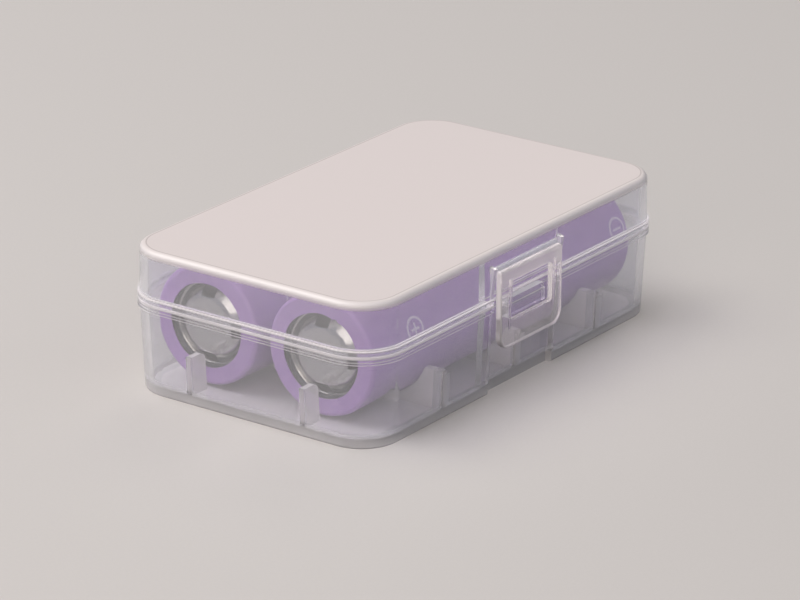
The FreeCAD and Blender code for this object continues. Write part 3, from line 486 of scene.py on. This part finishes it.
# The film: its round edge, the radius of its opening, the waves of that opening and its thickness.
SLEEVE_EDGE = 0.7 * MM
SLEEVE_OPENING = 6.4 * MM
OPENING_WAVE = 0.05 * MM
FILM = 0.12 * MM
# How many points go round a cell, along its side, over its end face and round an edge.
TURNS, SIDE_POINTS, FACE_POINTS, ROUND_POINTS = 192, 40, 6, 9


def turned(name, cell, centre, x, r, material, wave=None, film_map=None):
    """A closed outline of places x along the cell's axis and radii r, turned about that axis.

    Each point is (x, centre y + r cos a, centre z + r sin a), and wave adds to r at each angle a."""
    angle = np.linspace(0, 2 * math.pi, TURNS, endpoint=False)
    radius = r[:, None] + (wave(r, angle) if wave else np.zeros(TURNS))
    grid = np.stack([np.broadcast_to(x[:, None], radius.shape), centre[1] + radius * np.cos(angle),
                     centre[2] + radius * np.sin(angle)], -1)
    piece = new_piece(name, grid, (True, True), material, film_map)
    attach(piece, cell)
    return piece


def quarter(x_corner, r_corner, x_size, r_size):
    """Points of a quarter round: x_corner + x_size (1 - cos t), r_corner - r_size (1 - sin t)."""
    t = np.linspace(0, math.pi / 2, ROUND_POINTS)
    return x_corner + x_size * (1 - np.cos(t)), r_corner - r_size * (1 - np.sin(t))


def sleeve(cell, material):
    """The shrunk film, whose outline runs from the opening out over a quarter round of 0.7 mm, along
    the side and in again, then back inside the film. The opening waves by 0.05 mm, as such film does."""
    low, high = (np.array(corner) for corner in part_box(cell + "_sleeve"))
    radius = (high[1] - low[1]) / 2

    def end_path(x_face, inward, edge, outer):
        """A straight run over the end face, from the opening out, then the quarter round."""
        x, r = quarter(x_face, outer, inward * edge, edge)
        face = np.linspace(SLEEVE_OPENING, outer - edge, FACE_POINTS + 1)[:-1]
        return np.concatenate([np.full(FACE_POINTS, x_face), x]), np.concatenate([face, r])

    front_x, front_r = end_path(low[0], 1, SLEEVE_EDGE, radius)
    back_x, back_r = end_path(high[0], -1, SLEEVE_EDGE, radius)
    side_x = np.linspace(front_x[-1], back_x[-1], SIDE_POINTS)[1:-1]
    in_front_x, in_front_r = end_path(low[0] + FILM, 1, SLEEVE_EDGE - FILM, radius - FILM)
    in_back_x, in_back_r = end_path(high[0] - FILM, -1, SLEEVE_EDGE - FILM, radius - FILM)
    x = np.concatenate([front_x, side_x, back_x[::-1], in_back_x, in_front_x[::-1]])
    side_r = np.full(len(side_x), radius)
    r = np.concatenate([front_r, side_r, back_r[::-1], in_back_r, in_front_r[::-1]])
    along = np.concatenate([[0.0], np.cumsum(np.hypot(np.diff(x), np.diff(r)))])
    along = (along - along[len(front_x) - 1] + front_x[-1]) / MM

    def opening_wave(r, angle):
        """0.05 mm (sin(3 a + 1) + 0.6 sin(7 a + phase) + 1.6), fading out over 1.2 mm of the face.

        The phase comes from the cell's place, so the two openings differ."""
        phase = low[1] * 500
        wave = OPENING_WAVE * (np.sin(3 * angle + 1.0) + 0.6 * np.sin(7 * angle + phase) + 1.6)
        return np.clip(1 - (r - SLEEVE_OPENING) / (1.2 * MM), 0, 1)[:, None] * wave

    def film_map(i, j):
        """The place along the outline and the place round it, from the marks' angle, both in mm."""
        around = (2 * math.pi * j / TURNS - math.radians(MARK_TURN)) * radius / MM
        return along[np.minimum(i, len(along) - 1)].ravel(), around.ravel()

    film = turned(cell + "_film", cell, (low + high) / 2, x, r, material, opening_wave, film_map)
    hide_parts(cell + "_sleeve")


purple_film = shrunk_film("shrunk_pvc_film")
for cell in ("front_cell", "back_cell"):
    sleeve(cell, purple_film)

GASKET_HOLE, GASKET_LIP = 6.34 * MM, 0.7 * MM
FLANGE_TURN = 0.22 * MM


def flange_turn(cell, material):
    """The cap's flange turns up against the gasket in a hollow quarter round, where a bright line runs.

    Its outline goes from the flange's face along that round, (x, r) = (flange - f + f sin t, hole -
    f (1 - cos t)), to the gasket's hole, and back behind it."""
    gasket_low, gasket_high = (np.array(corner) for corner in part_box(cell + "_gasket"))
    centre = (gasket_low + gasket_high) / 2
    t = np.linspace(math.pi / 2, 0, ROUND_POINTS)
    flange = gasket_low[0] + GASKET_LIP
    x = np.concatenate([flange - FLANGE_TURN + FLANGE_TURN * np.sin(t), [flange]])
    r = np.concatenate([GASKET_HOLE - FLANGE_TURN * (1 - np.cos(t)), [GASKET_HOLE]])
    turned(cell + "_flange_turn", cell, centre, x, r, material)


# Rolled nickel: nearly a mirror, so it draws one fine line of light round the cap's foot.
rolled_nickel = fine_finish("rolled_nickel_flange", "#d8d5d0", 0.05, metallic=1.0, relief=0.02)
for cell in ("front_cell", "back_cell"):
    flange_turn(cell, rolled_nickel)

# Inside the film. Only the gasket, the cap and what lies behind its vents show.
FINISHES = {
    # Pressed paper, quite matt and painted dark: painted shade, the ring of shadow under the film's edge.
    "insulating_ring": fine_finish("insulating_paper_painted_shade", "#3a3a40", 0.7, grain_mm=0.2, relief=0.3,
                                   second="#2c2c30"),
    # Deep-drawn steel under nickel: a soft grey shine on the flat negative end.
    "can": fine_finish("nickel_plated_can", "#a8a6a2", 0.24, metallic=1.0, second="#b4b2ae"),
    # Moulded nylon: a dark satin ring between the film and the cap.
    "gasket": fine_finish("moulded_gasket", "#3c4048", 0.3, grain_mm=0.3, second="#464a52"),
    # Stamped steel under nickel: even grey on the flat, with a bright crescent on its slope.
    "positive_cap": fine_finish("nickel_plated_cap", "#c6c6c4", 0.2, metallic=1.0, grain_mm=0.6,
                                relief=0.012, second="#c9c8c5"),
    # Carbon-filled polymer: a dull black behind the vents, which makes them read as holes.
    "limiter_ring": fine_finish("carbon_filled_polymer", "#1c1c1e", 0.6, grain_mm=0.2, relief=0.3,
                                second="#262628"),
    # Stamped aluminium: a glimmer deep behind the vents.
    "burst_disc": fine_finish("stamped_aluminium", "#c4c5c8", 0.3, metallic=1.0, second="#cfd0d2"),
    # Punched polyester and coated foil: cream and nearly black, seen only when a cell is opened up.
    "upper_insulator": fine_finish("punched_polyester_film", "#d6cfc0", 0.45, second="#ddd8cb"),
    "winding": fine_finish("coated_electrode_foil", "#34333a", 0.55, grain_mm=0.15, second="#403f46"),
    "lower_insulator": fine_finish("punched_polyester_disc", "#d6cfc0", 0.45, second="#ddd8cb"),
}
for cell in ("front_cell", "back_cell"):
    for part, finish in FINISHES.items():
        dressed(cell + "_" + part, finish)


# Studio: a sweep of pale paper, a broad softbox behind and above the positive ends, a second one
# over the camera's shoulder, a smaller one past the far end, a weak one on the latch side and a sky.
def aimed(obj, azimuth, elevation, distance, target, roll=0.0):
    """Puts obj at distance from target, where azimuth and elevation in degrees say, looking at it.

    The direction from the target is (sin a cos e, -cos a cos e, sin e), and roll turns the picture."""
    a, e, turn = (math.radians(angle) for angle in (azimuth, elevation, roll))
    back = np.array([math.sin(a) * math.cos(e), -math.cos(a) * math.cos(e), math.sin(e)])
    level = np.cross([0.0, 0.0, 1.0], back)
    level /= np.linalg.norm(level)
    upright = np.cross(back, level)
    right = math.cos(turn) * level + math.sin(turn) * upright
    up = math.cos(turn) * upright - math.sin(turn) * level
    turned_axes = Matrix(np.column_stack([right, up, back]).tolist())
    obj.matrix_world = Matrix.LocRotScale(None, turned_axes, None)
    obj.location = np.array(target) + back * distance


def pale_paper():
    """Matt paper with a faint fibre, 0.5 mm. It is pale where it is seen, straight, in a reflection or
    through the plastic, and darker where it only throws light up at the object."""
    material, tree, output = new_material("pale_sweep_paper")
    place = add(tree, "ShaderNodeTexCoord").outputs["Object"]
    fibre = add(tree, "ShaderNodeTexNoise", {"Vector": place, "Scale": 1 / (0.5 * MM), "Detail": 2.0})
    tone = add(tree, "ShaderNodeMix", {0: fibre, 6: linear("#c6c3c0"), 7: linear("#cac7c4")},
               data_type="RGBA")
    path = add(tree, "ShaderNodeLightPath").outputs
    seen = add(tree, "ShaderNodeMath", {0: path["Is Camera Ray"], 1: path["Is Glossy Ray"]},
               operation="MAXIMUM")
    seen = add(tree, "ShaderNodeMath", {0: seen, 1: path["Is Transmission Ray"]}, operation="MAXIMUM")
    lit = add(tree, "ShaderNodeMix", {0: seen, 6: linear("#6f6c6a"), 7: tone.outputs[2]},
              data_type="RGBA")
    shader = add(tree, "ShaderNodeBsdfPrincipled", {"Base Color": lit.outputs[2], "Roughness": 0.7})
    tree.links.new(shader.outputs[0], output.inputs["Surface"])
    return material


# The sweep, in metres: flat up to the bend, round it and up the wall, square to the camera's view.
SWEEP_NEAR, BEND_START, BEND_RADIUS, SWEEP_TOP, SWEEP_HALF_WIDTH = 1.6, 1.0, 0.6, 2.4, 2.2
VIEW_AZIMUTH, VIEW_ELEVATION = -54.277, 20.723
away = np.array([-math.sin(math.radians(VIEW_AZIMUTH)), math.cos(math.radians(VIEW_AZIMUTH))])
sideways = np.array([away[1], -away[0]])
bend = np.linspace(0, math.pi / 2, BEND_POINTS)
run = np.concatenate([
    [-SWEEP_NEAR], BEND_START + BEND_RADIUS * np.sin(bend), [BEND_START + BEND_RADIUS]])
rise = np.concatenate([[0.0], BEND_RADIUS - BEND_RADIUS * np.cos(bend), [SWEEP_TOP]])
strips = np.linspace(-SWEEP_HALF_WIDTH, SWEEP_HALF_WIDTH, 3)
sweep_points = np.stack([run[:, None] * away[0] + strips * sideways[0],
                         run[:, None] * away[1] + strips * sideways[1],
                         np.broadcast_to(rise[:, None], (len(rise), 3))], -1)
sweep = new_piece("paper_sweep", sweep_points, (False, False), pale_paper())

world = bpy.data.worlds.new("studio_sky")
world.use_nodes = True
world.node_tree.nodes.clear()
sky = add(world.node_tree, "ShaderNodeBackground", {"Color": linear("#e2e5ee"), "Strength": 0.4})
add(world.node_tree, "ShaderNodeOutputWorld", {"Surface": sky})
bpy.context.scene.world = world

for name, azimuth, elevation, distance, width, height, power, colour in (
        ("key_softbox", -150.0, 52.0, 0.9, 0.7, 0.5, 6.3, "#fffaf8"),
        ("front_softbox", -67.0, 29.0, 0.9, 0.6, 0.5, 2.4, "#fff2e6"),
        ("far_softbox", 108.0, 38.0, 0.9, 0.25, 0.25, 1.0, "#fff6ea"),
        ("fill_softbox", 10.0, 35.0, 1.0, 0.5, 0.5, 0.8, "#f2f5ff")):
    lamp = bpy.data.lights.new(name, "AREA")
    lamp.shape = "RECTANGLE"
    lamp.size, lamp.size_y = width, height
    lamp.energy = power
    lamp.color = linear(colour)[:3]
    softbox = bpy.data.objects.new(name, lamp)
    bpy.context.scene.collection.objects.link(softbox)
    aimed(softbox, azimuth, elevation, distance, (0.0, 0.0, 0.01))

# The camera stands where the fit to the photograph puts it, 0.675 m from a point in the case.
CAMERA_DISTANCE = 0.675107
CAMERA_TARGET = (-0.003578, -0.002836, 0.009235)
CAMERA_ROLL = 0.258
camera_data = bpy.data.cameras.new("photo_camera")
camera_data.sensor_width = 36.0
camera_data.lens = 202.94
camera_data.clip_start = 0.05
camera_data.clip_end = 20.0
camera = bpy.data.objects.new("photo_camera", camera_data)
bpy.context.scene.collection.objects.link(camera)
bpy.context.scene.camera = camera
aimed(camera, VIEW_AZIMUTH, VIEW_ELEVATION, CAMERA_DISTANCE, CAMERA_TARGET, roll=CAMERA_ROLL)

bpy.context.scene.view_settings.view_transform = "Standard"
# A look through both walls, the flap and the catch crosses some twenty faces of clear plastic.
bpy.context.scene.cycles.max_bounces = 24
bpy.context.scene.cycles.transmission_bounces = 20
bpy.context.scene.cycles.transparent_max_bounces = 24
